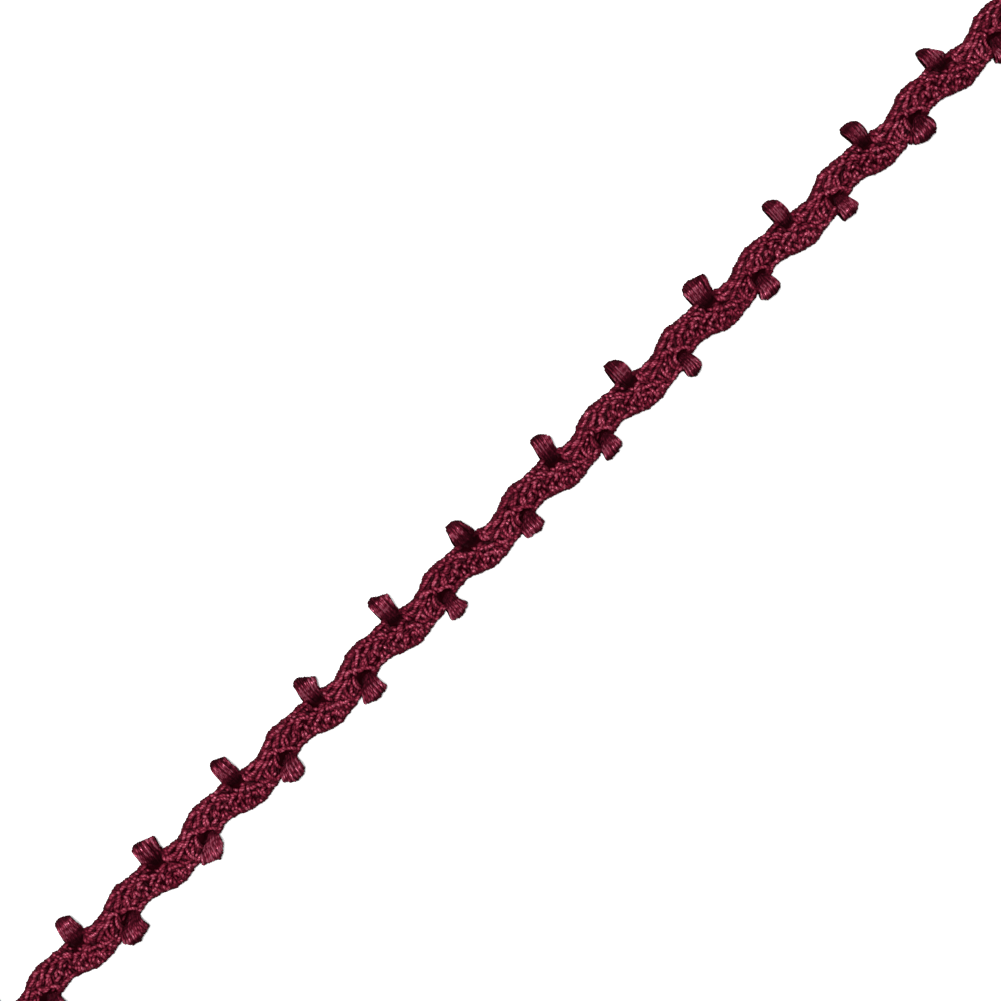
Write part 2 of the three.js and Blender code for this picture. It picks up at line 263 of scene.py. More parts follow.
# The middle line of a thread: its share of the way from the pocket to the tip, and its height
THREAD_OUT = (0.0, 0.16, 0.3, 0.45, 0.6, 0.7, 0.8, 0.9, 0.98, 1.0, 0.96, 0.84, 0.66, 0.44, 0.2)
THREAD_UP = (0.2, 0.42, 0.85, 1.4, 1.92, 2.12, 2.0, 1.66, 1.25, 1.0, 0.7, 0.48, 0.38, 0.4, 0.6)
THREAD_REACH = 4.5  # how far out the middle line goes, before it is fitted to a loop
# How much wider than their band the threads lie at its root and at its tip, and how far they slant
# along the trim as they turn under
ROOT_PAST, TIP_PAST, SLANT = 0.1, 0.12, 0.35
FOLD_DEPTH, FOLD_WIDTH = 0.45, 0.16  # of a fold between threads, its width as a share of half the band

# The plied cords along an edge: how far inside the edge each lies, how high, and its thickness as a
# share of the set one. Then the waves in which they wander, as (length, swing)
CORDS = ((0.12, 0.40, 0.95), (0.0, 0.98, 1.0), (0.2, 1.42, 0.85))
CORD_WAVES = ((0.61, 0.035), (0.97, 0.04), (1.73, 0.05), (3.1, 0.06), (5.3, 0.05))

# The camera looks straight down at VIEW_CENTRE, in millimetres, and is turned so that the trim rises
# to the right; the picture is as wide as 1001 chart squares
PICTURE_WIDTH = 1001 * SQUARE
VIEW_CENTRE = (-0.25, 2.62, 1.1)
VIEW_TURN = -math.atan2(0.71199429, 0.70218526)
# Each lamp: its name, its place and its size in metres, and its power in watts
LAMPS = (("top", (-0.05, 0.1, 0.9), 0.4, 13.0), ("side", (-0.6, 0.5, 0.5), 0.5, 4.0))
FLOOR_REACH = 3.0  # half the floor's side, in metres


# The braid's form

def smooth(low, high, value):
    """A soft step: 0 up to low, 1 from high, and 3s^2 - 2s^3 of the share s between them."""
    share = np.clip((value - low) / (high - low), 0, 1)
    return share * share * (3 - 2 * share)


def edge_at(edge, x):
    """Distance of a wavy edge from the centre line: its mean plus two harmonics of the wave."""
    mean, first, first_turn, second, second_turn = edge
    turn = 2 * np.pi * (x - WAVE_START) / WAVE
    return mean + first * np.cos(turn + first_turn) + second * np.cos(2 * turn + second_turn)


def between_edges(x, y, clear):
    """The places across the trim, kept so far inside both wavy edges."""
    return np.clip(y, edge_at(LOWER_EDGE, x) + clear, edge_at(UPPER_EDGE, x) - clear)


def across_share(x, y):
    """Place between the two wavy edges: -1 on the lower one, 0 half way and 1 on the upper one."""
    low, high = edge_at(LOWER_EDGE, x), edge_at(UPPER_EDGE, x)
    return (2 * y - low - high) / (high - low)


def pocket_depth(x, y):
    """How far a point lies in the pocket of any loop, from 0 outside it to 1 on its floor. The pocket
    starts in an arch, later at its sides than in its middle, and opens to the width of the root."""
    depth = np.zeros(np.broadcast(x, y).shape)
    for row in (UPPER_ROW, LOWER_ROW):
        start, out = row["pocket"], y * row["way"]
        for at, root, _, _, _, _, _, sway, *_ in row["loops"]:
            opening = smooth(start, POCKET_OPEN, out)
            half = POCKET_HALF * (POCKET_WIDTH + (root - POCKET_WIDTH) * opening)
            aside = np.abs(x - at - sway * (1 - opening))
            across = 1 - smooth(0, POCKET_FLANK, aside - half)
            arch = POCKET_ARCH * np.clip(aside / half, 0, 1.2) ** 2
            along = smooth(start - 0.8 * POCKET_RAMP, start + 0.2 * POCKET_RAMP, out - arch)
            depth = np.maximum(depth, across * along)
    return depth


def pocket_floor(y):
    """Height of a pocket's floor: low near the centre line, and rising softly towards the edge."""
    lowest, rise = 0.25, 0.6
    return lowest + rise * smooth(1.4, 3.4, np.abs(y))


def face_height(x, y):
    """Height of the face: a full crown, (1 - a^2)^0.31 of the rise at share a, less the pockets."""
    share = np.clip(np.abs(across_share(x, y)), 0, 1)
    crown = EDGE_HEIGHT + (BRAID_HEIGHT - EDGE_HEIGHT) * (1 - share**2) ** CROWN_POWER
    return crown + (np.minimum(crown, pocket_floor(y)) - crown) * pocket_depth(x, y)


# Lines and tubes of yarn

def even_line(points, steps):
    """A charted line as steps evenly spaced points, its corners softened by repeated averages."""
    points = np.array(points, float)
    run = np.concatenate(([0], np.cumsum(np.linalg.norm(np.diff(points, axis=0), axis=1))))
    at = np.linspace(0, run[-1], steps)
    line = np.stack([np.interp(at, run, column) for column in points.T], axis=1)
    for _ in range(3):
        line[1:-1] = (line[:-2] + 2 * line[1:-1] + line[2:]) / 4
    return line


def even_points(values, steps):
    """Rows of values, each resampled to so many steps."""
    at = np.linspace(0, values.shape[1] - 1, steps)
    low = np.minimum(at.astype(int), values.shape[1] - 2)
    return values[:, low] + (at - low) * (values[:, low + 1] - values[:, low])


def spread(grid, cells):
    """The mean of a grid over a square of so many cells each way."""
    for axis in (0, 1):
        grid = sum(np.roll(grid, step, axis) for step in range(-cells, cells + 1)) / (2 * cells + 1)
    return grid


def stacked(*parts):
    """The parts, spread to one shape, side by side along a new last axis."""
    return np.stack(np.broadcast_arrays(*parts), -1)


def unit(vectors):
    """The vectors divided by their lengths."""
    return vectors / np.linalg.norm(vectors, axis=-1, keepdims=True)


def bow(steps, ends=0.0):
    """A bow over so many steps along a stitch: ends + (1 - ends) sin(pi s)^0.6 at share s of the way."""
    return ends + (1 - ends) * np.sin(np.pi * np.linspace(0, 1, steps)[None]) ** 0.6


def ripple(x, length, turn=0.0):
    """A wave along the trim: sin(2 pi x / length + turn)."""
    return np.sin(2 * np.pi * x / length + turn)


def beside(x, y, up):
    """The direction square to up and to the flat line through the places x and y."""
    return np.cross(up, np.gradient(stacked(x, y, 0.0), axis=1))


def tube_faces(rings, sides):
    """The faces of one closed tube, as (quads, fans): quads between its rings of points, and triangles
    round the pole beyond each end. The two poles come after the rings."""
    j = np.arange(sides)
    after, last, pole = (j + 1) % sides, (rings - 1) * sides, rings * sides
    ring = np.arange(rings - 1)[:, None] * sides
    quads = stacked(ring + j, ring + after, ring + sides + after, ring + sides + j)
    fans = np.concatenate((stacked(pole, after, j), stacked(pole + 1, last + j, last + after)))
    return quads.reshape(-1, 4), fans


def tube_map(run, sides):
    """The yarn map at each corner of the faces: the run along the line, and the share of the way round."""
    ring, j = np.indices((run.shape[1] - 1, sides))
    quad_run = run[:, stacked(ring, ring, ring + 1, ring + 1).ravel()]
    quad_side = stacked(j, j + 1, j + 1, j).ravel() / sides
    j = np.arange(sides)
    fan_run = np.repeat(run[:, [0, -1]], 3 * sides, axis=1)
    fan_side = np.concatenate((stacked(j + 0.5, j + 1, j), stacked(j + 0.5, j, j + 1))).ravel() / sides
    return stacked(quad_run, quad_side), stacked(fan_run, fan_side)


def tubes(centre, radius, aside, sides, shade, flat=1.0, ply=0.0, pitch=1.0, first_turn=0.0):
    """Closed tubes along many lines at once. A ring is the circle c + r (cos a * side + flat * sin a *
    up), where side is aside made square to the line, and r swells in two lobes by ply * cos(2 a - turn),
    with one turn in each pitch of the line. A pole beyond each end closes the tube. Returns a dict of
    arrays, with the shade at every point as its tint."""
    count, rings, _ = centre.shape
    tangent = unit(np.gradient(centre, axis=1))
    side = unit(aside - np.sum(aside * tangent, axis=-1, keepdims=True) * tangent)
    up = np.cross(tangent, side)
    steps = np.linalg.norm(np.diff(centre, axis=1), axis=-1)
    run = np.concatenate((np.zeros((count, 1)), np.cumsum(steps, axis=1)), axis=1)
    angle = 2 * np.pi * np.arange(sides) / sides
    turn = (2 * np.pi * run / pitch + first_turn)[..., None]
    swell = radius[..., None] * (1 + ply * np.cos(2 * angle - turn))
    ring = (np.cos(angle) * swell)[..., None] * side[:, :, None] \
        + flat * (np.sin(angle) * swell)[..., None] * up[:, :, None]
    body = (centre[:, :, None] + ring).reshape(count, rings * sides, 3)
    past = POLE * radius[:, [0, -1], None] * tangent[:, [0, -1]] * np.array((-1, 1))[:, None]
    points = np.concatenate((body, centre[:, [0, -1]] + past), axis=1)
    base = (np.arange(count) * points.shape[1])[:, None, None]
    quads, fans = (faces + base for faces in tube_faces(rings, sides))
    quad_map, fan_map = tube_map(run, sides)
    shade = np.broadcast_to(shade, (count, rings))
    tint = np.concatenate((np.repeat(shade, sides, axis=1), shade[:, [0, -1]]), axis=1)
    return {"points": points.reshape(-1, 3), "quads": quads.reshape(-1, 4), "fans": fans.reshape(-1, 3),
            "quad_map": quad_map.reshape(-1, 2), "fan_map": fan_map.reshape(-1, 2), "tint": tint.ravel()}


def joined(shapes):
    """Several tube shapes as one, with their faces pointing at their own points."""
    offsets = np.cumsum([0] + [len(shape["points"]) for shape in shapes[:-1]])
    whole = {key: np.concatenate([shape[key] for shape in shapes]) for key in shapes[0]}
    for key in ("quads", "fans"):
        whole[key] = np.concatenate([shape[key] + offset for shape, offset in zip(shapes, offsets)])
    return whole


def new_piece(name, shape, material, nodes=()):
    """Puts a shape into a mesh in metres, as a smooth piece that rides with the trim. What would reach
    under the table's level is pressed flat on it."""
    mesh = bpy.data.meshes.new(name)
    points = shape["points"] + np.array((0, CENTRE_LINE, 0))
    points[:, 2] = np.maximum(points[:, 2], LOWEST)
    quads, fans = shape["quads"], shape["fans"]
    corners = np.concatenate((quads.ravel(), fans.ravel()))
    starts = np.concatenate((np.arange(len(quads)) * 4, quads.size + np.arange(len(fans)) * 3))
    mesh.vertices.add(len(points))
    mesh.vertices.foreach_set("co", (points * MM).astype(np.float32).ravel())
    mesh.loops.add(len(corners))
    mesh.loops.foreach_set("vertex_index", corners.astype(np.int32))
    mesh.polygons.add(len(starts))
    mesh.polygons.foreach_set("loop_start", starts.astype(np.int32))
    mesh.update(calc_edges=True)
    mesh.validate()
    mesh.polygons.foreach_set("use_smooth", np.ones(len(mesh.polygons), bool))
    yarn_map = np.concatenate((shape["quad_map"], shape["fan_map"])).astype(np.float32)
    mesh.uv_layers.new(name="yarn").data.foreach_set("uv", yarn_map.ravel())
    tint = mesh.attributes.new("shade", "FLOAT", "POINT")
    tint.data.foreach_set("value", shape["tint"].astype(np.float32))
    mesh.materials.append(materials()[material])
    piece = bpy.data.objects.new(name, mesh)
    bpy.context.scene.collection.objects.link(piece)
    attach(piece, "root")
    if nodes:
        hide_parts(*nodes)


# Materials

class Signal:
    """A shader socket that can stand in Python sums. An expression on it adds its Math nodes."""

    def __init__(self, shader, made, output=0):
        self.shader, self.made = shader, made
        self.socket = made.outputs[output] if made.outputs else None

    def output(self, name):
        return Signal(self.shader, self.made, name)

    def math(self, operation, *values):
        return self.shader.node("ShaderNodeMath", {"operation": operation}, dict(enumerate(values)))

    def __add__(self, other):
        return self.math("ADD", self, other)

    def __sub__(self, other):
        return self.math("SUBTRACT", self, other)

    def __rsub__(self, other):
        return self.math("SUBTRACT", other, self)

    def __mul__(self, other):
        return self.math("MULTIPLY", self, other)

    def sine(self):
        return self.math("SINE", self)

    def size(self):
        return self.math("ABSOLUTE", self)

    __radd__, __rmul__ = __add__, __mul__


class Shader:
    """A material's node tree. node() adds any node: its kind, its settings, then its sockets."""

    def __init__(self, name):
        self.material = bpy.data.materials.new(name)
        self.material.use_nodes = True
        self.tree = self.material.node_tree
        self.tree.nodes.clear()

    def node(self, kind, settings=None, sockets=None, output=0):
        made = self.tree.nodes.new(kind)
        for name, value in (settings or {}).items():
            setattr(made, name, value)
        for key, value in (sockets or {}).items():
            if isinstance(value, Signal):
                self.tree.links.new(value.socket, made.inputs[key])
            else:
                made.inputs[key].default_value = value
        return Signal(self, made, output)

    def noise(self, place, scale, detail):
        return self.node("ShaderNodeTexNoise", None, {"Vector": place, "Scale": scale, "Detail": detail})

    def bump(self, height, strength, distance):
        return self.node("ShaderNodeBump", None,
                         {"Strength": strength, "Distance": distance, "Height": height})

    def mix(self, factor, first, second):
        """first where factor is 0 and second where it is 1, as colours."""
        return self.node("ShaderNodeMix", {"data_type": "RGBA"}, {0: factor, 6: first, 7: second}, 2)

    def finish(self, **sockets):
        """The surface: a Principled BSDF with these sockets, names written with _ for spaces."""
        surface = self.node("ShaderNodeBsdfPrincipled", None,
                            {name.replace("_", " "): value for name, value in sockets.items()})
        self.node("ShaderNodeOutputMaterial", None, {"Surface": surface})
        return self.material


def tone(colour, share, more=(0.0, 0.0, 0.0)):
    """A share of a colour, with a little more of each channel."""
    return tuple(channel * share + extra for channel, extra in zip(colour, more)) + (1.0,)


def yarn_material(name, colour, pitch, fibre_turns, relief, roughness, lustre, gloss):
    """Twisted yarn: grooves between its two plies, fine fibres along the twist, and patchy dye. Its
    crown is smoother than its sides, and painted lighter than them as the light falls. The painted light
    is the stitch's own shade, times the height round the yarn, times the grooves (painted shade in them),
    fibres and patches, and its brightest part is painted paler as a highlight."""
    shader = Shader(name)
    place = shader.node("ShaderNodeUVMap", {"uv_map": "yarn"})
    parts = shader.node("ShaderNodeSeparateXYZ", None, {0: place})
    run, round_share = parts.output("X"), parts.output("Y")
    here = shader.node("ShaderNodeTexCoord").output("Object")
    blotch, fluff = shader.noise(here, 900.0, 2.0), shader.noise(here, 6000.0, 3.0)
    turn = round_share * (2 * math.pi)
    groove = (turn - run * (math.pi / pitch)).sine().size()
    fibre = (turn * fibre_turns - run * (2 * math.pi * 2.2 / pitch) + blotch * 9.0).sine()
    bump = shader.bump(groove * 0.7 + fibre * 0.16 + fluff * 0.4, 0.9, relief * MM)
    shade = shader.node("ShaderNodeAttribute", {"attribute_name": "shade"}).output("Fac")
    # painted light: the crown of the yarn is painted lighter and its sides darker
    crown = turn.sine() * 0.5 + 0.5
    # the grooves between the plies are painted darker as their shade; the patches are the dye's own tone
    light = shade * (0.08 + crown * 0.92) * (0.45 + groove * 0.52 + fibre * 0.1 + (blotch - 0.5) * 0.9)
    light = light * (light * 0.6 + 0.4)
    # colours of the painted light: nearly black unlit, the yarn's colour, and a paler painted highlight
    deep, full, painted_highlight = tone(colour, 0.02), tone(colour, 1.0), tone(colour, 1.1, (0.0, 0.045, 0.05))
    return shader.finish(
        Base_Color=shader.mix((light - 0.5) * 1.4, shader.mix(light, deep, full), painted_highlight),
        Roughness=roughness + (1.0 - light) * 0.5 + (fluff - 0.5) * 0.2,
        Normal=bump, Metallic=lustre, Specular_IOR_Level=gloss, Specular_Tint=(1.0, 0.42, 0.52, 1.0))


def core_material(name, colour):
    """The core under the stitches: small rounded lumps of yarn, painted very dark as the shade between the
    stitches, and darker still in the hollows between the lumps as painted shade.
    """
    shader = Shader(name)
    here = shader.node("ShaderNodeTexCoord").output("Object")
    lumps = shader.node("ShaderNodeTexVoronoi", {"feature": "SMOOTH_F1"},
                        {"Vector": here, "Scale": 1500.0})
    fluff = shader.noise(here, 5000.0, 3.0)
    rise = 1.0 - lumps.output("Distance")
    bump = shader.bump(rise + fluff * 0.2, 0.8, 0.15 * MM)
    # painted shade: the core is at most 8% of the yarn's colour, darkest in the hollows
    return shader.finish(Base_Color=shader.mix(rise * 0.7, tone(colour, 0.02), tone(colour, 0.08)),
                         Roughness=0.9 + fluff * 0.1, Normal=bump, Specular_IOR_Level=0.0)


def materials():
    """The trim's materials, made once: braid yarn, edge yarn, loop silk and the core in painted shade."""
    if "braid yarn" not in bpy.data.materials:
        colours = bpy.context.scene.trim_colours
        twist = {"pitch": PLY_PITCH, "fibre_turns": 9, "relief": 0.05}
        yarn_material("braid yarn", colours.braid, **twist, roughness=0.32, lustre=0.25, gloss=0.2)
        yarn_material("edge yarn", colours.braid, **twist, roughness=0.45, lustre=0.2, gloss=0.08)
        yarn_material("loop silk", colours.loops, pitch=THREAD_PITCH, fibre_turns=7, relief=0.03,
                      roughness=0.34, lustre=0.35, gloss=0.05)
        core_material("core yarn in painted shade", colours.braid)
    return bpy.data.materials


# Settings

class TrimSizes(bpy.types.PropertyGroup):
    """Sizes of the yarns."""
    yarn_margin: FloatProperty(name="Yarn margin", default=0.1 * MM, unit="LENGTH",
                               description="Yarn beyond the lit part of a stitch, on each side")
    stitch_dive: FloatProperty(name="Stitch dive", description="How far a stitch sinks at its two ends",
                               default=0.75 * MM, unit="LENGTH")
    edge_cord: FloatProperty(name="Edge cord", description="Radius of the plied cords along the edges",
                             default=0.4 * MM, unit="LENGTH")
    threads: IntProperty(name="Threads", description="Parallel threads in each picot loop",
                         default=12, min=4, max=16)


class TrimColours(bpy.types.PropertyGroup):
    """Colours of the yarns and of the floor."""
    braid: FloatVectorProperty(name="Braid yarn", description="Colour of the stitches", subtype="COLOR",
                               default=(0.26, 0.014, 0.042))
    loops: FloatVectorProperty(name="Loop silk", description="Colour of the picot loops", subtype="COLOR",
                               default=(0.26, 0.02, 0.05))
    floor: FloatVectorProperty(name="Floor", description="Colour of the floor", subtype="COLOR",
                               default=(0.9, 0.9, 0.9))


# The braid

def core_shape(steps_along=640, spans=14):
    """The core: section lines across the trim, each an inset crown over a flat underside. At share a
    of the way across, its top lies under the face by a stitch's depth."""
    end_gap, inset, drop, foot, thinnest = 0.15, 0.5, 0.62, 0.3, 0.05
    x = np.linspace(-HALF_LENGTH + end_gap, HALF_LENGTH - end_gap, steps_along)[:, None]
    share = -np.cos(np.linspace(0, np.pi, spans + 1))[None, :]
    low, high = edge_at(LOWER_EDGE, x) + inset, edge_at(UPPER_EDGE, x) - inset
    y = (low + high) / 2 + share * (high - low) / 2
    top = np.maximum(face_height(x, y) - drop, foot + thinnest)
    rings = np.concatenate((stacked(x, y, top), stacked(x, y, foot)[:, ::-1]), axis=1)
    points = np.concatenate((rings.reshape(-1, 3), rings[[0, -1]].mean(axis=1)))
    quads, fans = tube_faces(*rings.shape[:2])
    quads, fans = quads[:, [0, 3, 2, 1]], fans[:, [0, 2, 1]]
    return {"points": points, "quads": quads, "fans": fans, "quad_map": points[quads.ravel()][:, :2],
            "fan_map": points[fans.ravel()][:, :2], "tint": np.ones(len(points))}


def stitch_lines(steps, tuck):
    """Every charted stitch of every repeat, as (lines, widths, depths): each line is lengthened by tuck
    at both ends along its own direction, and shifted with its repeat. All in chart squares."""
    lines = np.stack([even_line(row[2:], steps - 4) for row in STITCHES])
    start, end = lines[:, :1], lines[:, -1:]
    head, tail = tuck * unit(start - lines[:, 1:2]), tuck * unit(end - lines[:, -2:-1])
    lines = np.concatenate((start + head, start + head / 2, lines, end + tail / 2, end + tail), axis=1)
    numbers = np.arange(len(REPEAT_SHIFTS)) - MIDDLE_REPEAT
    along = numbers * CHART_REPEAT + np.array(REPEAT_SHIFTS) + CHART_SHIFT
    lines = lines[None] + stacked(along, 0)[:, None, None]
    widths, depths = (np.tile([row[column] for row in STITCHES], len(along)) for column in (0, 1))
    return lines.reshape(-1, steps, 2), widths, depths


def cut_square(lines, *others):
    """Stitches that cross a cut end stop there, and those wholly beyond it are left out."""
    keep = np.sum(np.abs(lines[..., 0]) < YARN_END, axis=1) > 3
    lines, others = lines[keep], [values[keep] for values in others]
    steps = np.arange(lines.shape[1])
    for row in np.nonzero(np.any(np.abs(lines[..., 0]) >= YARN_END, axis=1))[0]:
        inside = np.nonzero(np.abs(lines[row, :, 0]) < YARN_END)[0]
        at = np.linspace(inside[0], inside[-1], len(steps))
        lines[row] = np.stack([np.interp(at, steps, column) for column in lines[row].T], -1)
    return lines, *others


def face_stitches(sizes, rng, steps=12, sides=6):
    """The stitches of the face, as three shapes from left to right. A stitch's line keeps just under
    the face in its middle and dives at its ends: its height is the face, less most of its radius, less
    dive * (1 - bow). Stitches over a pocket are left out, and those at its flanks are painted dark as
    the pocket's shade. Deeper stitches and the diving ends are painted darker too, as their shade."""
    tuck, edge_gap, foot, deeper_painted_shade, pocket_painted_shade = 2.4, 0.42, 0.02, 0.55, 0.8
    lines, widths, depths = stitch_lines(steps, tuck)
    lines = (lines + rng.normal(0, 0.35, (len(lines), 1, 2))) * SQUARE
    lines, widths, depths = cut_square(lines, widths, depths)
    bare = pocket_depth(lines[..., 0], lines[..., 1]).mean(axis=1) < 0.3
    lines, widths, depths = lines[bare], widths[bare, None], depths[bare, None]
    each = (len(lines), 1)
    radius = (widths * SQUARE / 2 + sizes.yarn_margin / MM) * rng.uniform(0.94, 1.06, each)
    x, y = lines[..., 0], lines[..., 1]
    aside = beside(x, y, UP)
    y = between_edges(x, y, edge_gap)
    height = face_height(x, y) - radius * 0.85 - depths + rng.normal(0.04, 0.05, each)
    height = np.maximum(height - sizes.stitch_dive / MM * (1 - bow(steps)), 0.9 * radius + foot)
    centre = stacked(x, y, height)
    thick = radius * bow(steps, 0.72)
    # painted shade over a random tone: deeper stitches, diving ends and the pockets' flanks are darker
    shade = rng.uniform(0.77, 1.26, each) * (1 - deeper_painted_shade * (depths > 0)) * bow(steps, 0.28)
    shade = shade * (1 - pocket_painted_shade * pocket_depth(x, y))
    first_turn = rng.uniform(0, 6.28, each)
    third = np.clip(((x.mean(axis=1) / HALF_LENGTH + 1) * 1.5).astype(int), 0, 2)
    return [tubes(centre[kept], thick[kept], aside[kept], sides, shade[kept], flat=0.9, ply=0.15,
                  pitch=PLY_PITCH, first_turn=first_turn[kept])
            for kept in (third == 0, third == 1, third == 2)]


def gaps_between(lines, rng):
    """Places in the gaps between charted stitches, with the direction of the yarn there. The stitches
    are marked on a fine grid and spread by two cells each way; the direction is half the angle of the
    mean of (cos 2t, sin 2t) over the stitches around."""
    cell, half_wide, end_gap, apart, rows_apart, reach = SQUARE / 2, 5.0, 0.8, 0.62, 0.4, 4.4
    shape = (int(2 * HALF_LENGTH / cell) + 1, int(2 * half_wide / cell) + 1)
    fine = np.stack([even_points(lines[..., axis], 48) for axis in (0, 1)], -1)
    at = ((fine + (HALF_LENGTH, half_wide)) / cell).astype(int)
    at = np.clip(at, 0, np.array(shape) - 1)
    taken = np.zeros(shape)
    taken[at[..., 0], at[..., 1]] = 1
    taken = spread(taken, 2) > 0.001
    turn = np.gradient(fine, axis=1)
    turn = 2 * np.arctan2(turn[..., 1], turn[..., 0])
    ways = []
    for part in (np.cos(turn), np.sin(turn)):
        total = np.zeros(shape)
        np.add.at(total, (at[..., 0], at[..., 1]), part)
        ways.append(spread(spread(total, 5), 5))
    direction = np.arctan2(ways[1], ways[0]) / 2
    x, y = np.meshgrid(np.arange(end_gap - HALF_LENGTH, HALF_LENGTH - end_gap, apart),
                       np.arange(-reach, reach, rows_apart))
    x = x.ravel() + rng.uniform(-0.2, 0.2, x.size)
    y = y.ravel() + rng.uniform(-0.15, 0.15, y.size)
    column, line = ((x + HALF_LENGTH) / cell).astype(int), ((y + half_wide) / cell).astype(int)
    free = ~taken[column, line] & (np.abs(across_share(x, y)) < 0.93) & (pocket_depth(x, y) < 0.1)
    return x[free, None], y[free, None], direction[column, line][free, None]


def under_stitches(rng, steps=8, sides=5):
    """Short stitches in the gaps of the face, painted dim as the shade there: each is a shallow bow along
    the yarn around it, and lies a little deeper than the charted ones."""
    tuck, edge_gap, dive, foot, pocket_painted_shade = 2.4, 0.35, 0.5, 0.02, 0.8
    lines = stitch_lines(12, tuck)[0] * SQUARE
    x, y, direction = gaps_between(cut_square(lines)[0], rng)
    each = x.shape
    direction = direction + rng.normal(0, 0.35, each)
    along = np.linspace(-1, 1, steps)[None] * rng.uniform(0.45, 0.8, each)
    bend = rng.uniform(-0.25, 0.25, each) * along**2
    x = x + along * np.cos(direction) - bend * np.sin(direction)
    y = y + along * np.sin(direction) + bend * np.cos(direction)
    x = np.clip(x, -YARN_END, YARN_END)
    aside = stacked(-np.sin(direction), np.cos(direction), 0 * x)
    y = between_edges(x, y, edge_gap)
    radius = rng.uniform(0.19, 0.25, each)
    height = face_height(x, y) - radius - rng.uniform(0.08, 0.25, each) - dive * (1 - bow(steps))
    centre = stacked(x, y, np.maximum(height, radius + foot))
    # painted shade over a random tone: dim in the gaps, darker at the ends and in the pockets
    shade = rng.uniform(0.1, 0.65, each) * bow(steps, 0.4) * (1 - pocket_painted_shade * pocket_depth(x, y))
    return tubes(centre, radius * bow(steps, 0.7), aside, sides, shade)


def back_stitches(rng, steps=7, sides=6):
    """The flat back: the same stitches seen from behind, lying in one level just over the ground, and
    rising a little towards the edges."""
    tuck, edge_gap, margin, dive, foot, edge_rise = 2.0, 0.7, 0.08, 0.25, 0.02, 0.32
    lines, widths, _ = stitch_lines(steps, tuck)
    lines = (lines + rng.normal(0, 0.8, (len(lines), 1, 2))) * SQUARE
    lines, widths = cut_square(lines, widths)
    radius = (widths * SQUARE / 2 + margin)[:, None]
    x, y = lines[..., 0], lines[..., 1]
    aside = beside(x, y, -UP)
    y = between_edges(x, y, edge_gap)
    rise = edge_rise * smooth(0.6, 1.0, np.abs(across_share(x, y)))
    height = radius * 0.8 + foot + dive * (1 - bow(steps)) + rise + rng.uniform(0, 0.05, radius.shape)
    # painted shade over a random tone: each stitch darker towards its ends
    shade = rng.uniform(0.7, 1.0, radius.shape) * bow(steps, 0.4)
    return tubes(stacked(x, y, height), radius * bow(steps, 0.75), aside, sides, shade, flat=0.8)


def cut_ends(rng, steps=6, sides=7):
    """The yarns cut through at both ends: short straight stubs side by side, in rows from the back to
    the face."""
    length, edge_gap, across, heights = 0.9, 0.9, 9, (0.42, 0.86, 1.3, 1.72)
    stubs = []
    for end in (-1, 1):
        x = end * YARN_END
        low, high = edge_at(LOWER_EDGE, x) + edge_gap, edge_at(UPPER_EDGE, x) - edge_gap
        y, z = np.meshgrid(np.linspace(low, high, across), heights)
        y, z = (values.ravel()[:, None] + rng.uniform(-0.07, 0.07, (values.size, 1)) for values in (y, z))
        z = np.minimum(z, face_height(x, y) - 0.3)
        along = x - end * (rng.uniform(0.0, 0.12, y.shape) + np.linspace(length, 0, steps)[None])
        centre = stacked(along, y, z)
        radius = rng.uniform(0.22, 0.27, y.shape) + 0 * along
        shade = rng.uniform(0.25, 0.6, y.shape)
        stubs.append(tubes(centre, radius, ACROSS, sides, shade))
    return joined(stubs)


def edge_cords(sizes, edge, way, rng, steps=1500, sides=8):
    """The plied cords stacked along one wavy edge: each runs beside the edge at its own height, sinks
    under the loops' pockets, wanders by a sum of sines, and swells in two lobes that turn once in each
    pitch."""
    radius = sizes.edge_cord / MM
    x = np.linspace(-YARN_END, YARN_END, steps)
    slope = np.gradient(edge_at(edge, x), x)
    cords = []
    for inset, up, size in CORDS:
        y = edge_at(edge, x) - way * (inset + radius) * np.sqrt(1 + slope**2)
        sink = pocket_depth(x, y) * np.maximum(0.0, up + radius - np.maximum(pocket_floor(y), 2 * radius))
        wobble = sum(swing * ripple(x, length, rng.uniform(0, 6)) for length, swing in CORD_WAVES)
        centre = stacked(x, y + wobble, up - sink + 0.4 * wobble)[None]
        thick = radius * size * (1 + 0.05 * ripple(x, 1.45, rng.uniform(0, 6)))[None]
        # painted shade: cords darker than the face, beaded lighter and darker along them, darker at
        # pockets
        shade = 0.45 + 0.3 * ripple(x, 1.9, rng.uniform(0, 6)) * ripple(x, 0.71)
        shade = (shade * (1 - 0.5 * pocket_depth(x, y)))[None]
        cords.append(tubes(centre, thick, ACROSS, sides, shade, ply=0.17, pitch=PLY_PITCH))
    return joined(cords)


# The loops

def thread_light(row, lit_from, lit_to, y, run, folded, rng):
    """The painted light of a loop's threads along their lines: dim in the pocket, lit between two places
    further out, darker at the tip and dark underneath and in a fold, with streaks from thread to thread."""
    each = (len(y), 1)
    under_light, fold_dark = 0.12, 0.75
    seen = y + rng.normal(0, 0.14, each)
    before = row["deep"] + (0.6 - row["deep"]) * smooth(row["pocket"] + 0.5, lit_from + 0.2, seen)
    lit = smooth(lit_from - 0.35, lit_from + 0.25, seen) * (1 - smooth(lit_to - 0.15, lit_to + 0.4, seen))
    top = (before + (row["lit"] - before) * lit) * (1 - fold_dark * folded)
    top = top * (1 + (row["tip"] - 1) * smooth(lit_to, lit_to + 0.7, seen))
    # painted glints: the light rises and falls along each thread
    uneven = 1 + 0.35 * np.sin(2 * np.pi * (y / rng.uniform(0.7, 1.5, each) + rng.uniform(0, 1, each)))
    # a random tone for each thread, and every other thread painted darker as the shade between them
    streaks = rng.uniform(0.55, 1.2, each) * (1 + 0.24 * np.cos(np.pi * np.arange(len(y))))[:, None]
    return (top + (under_light - top) * smooth(0.52, 0.6, run)) * streaks * uneven


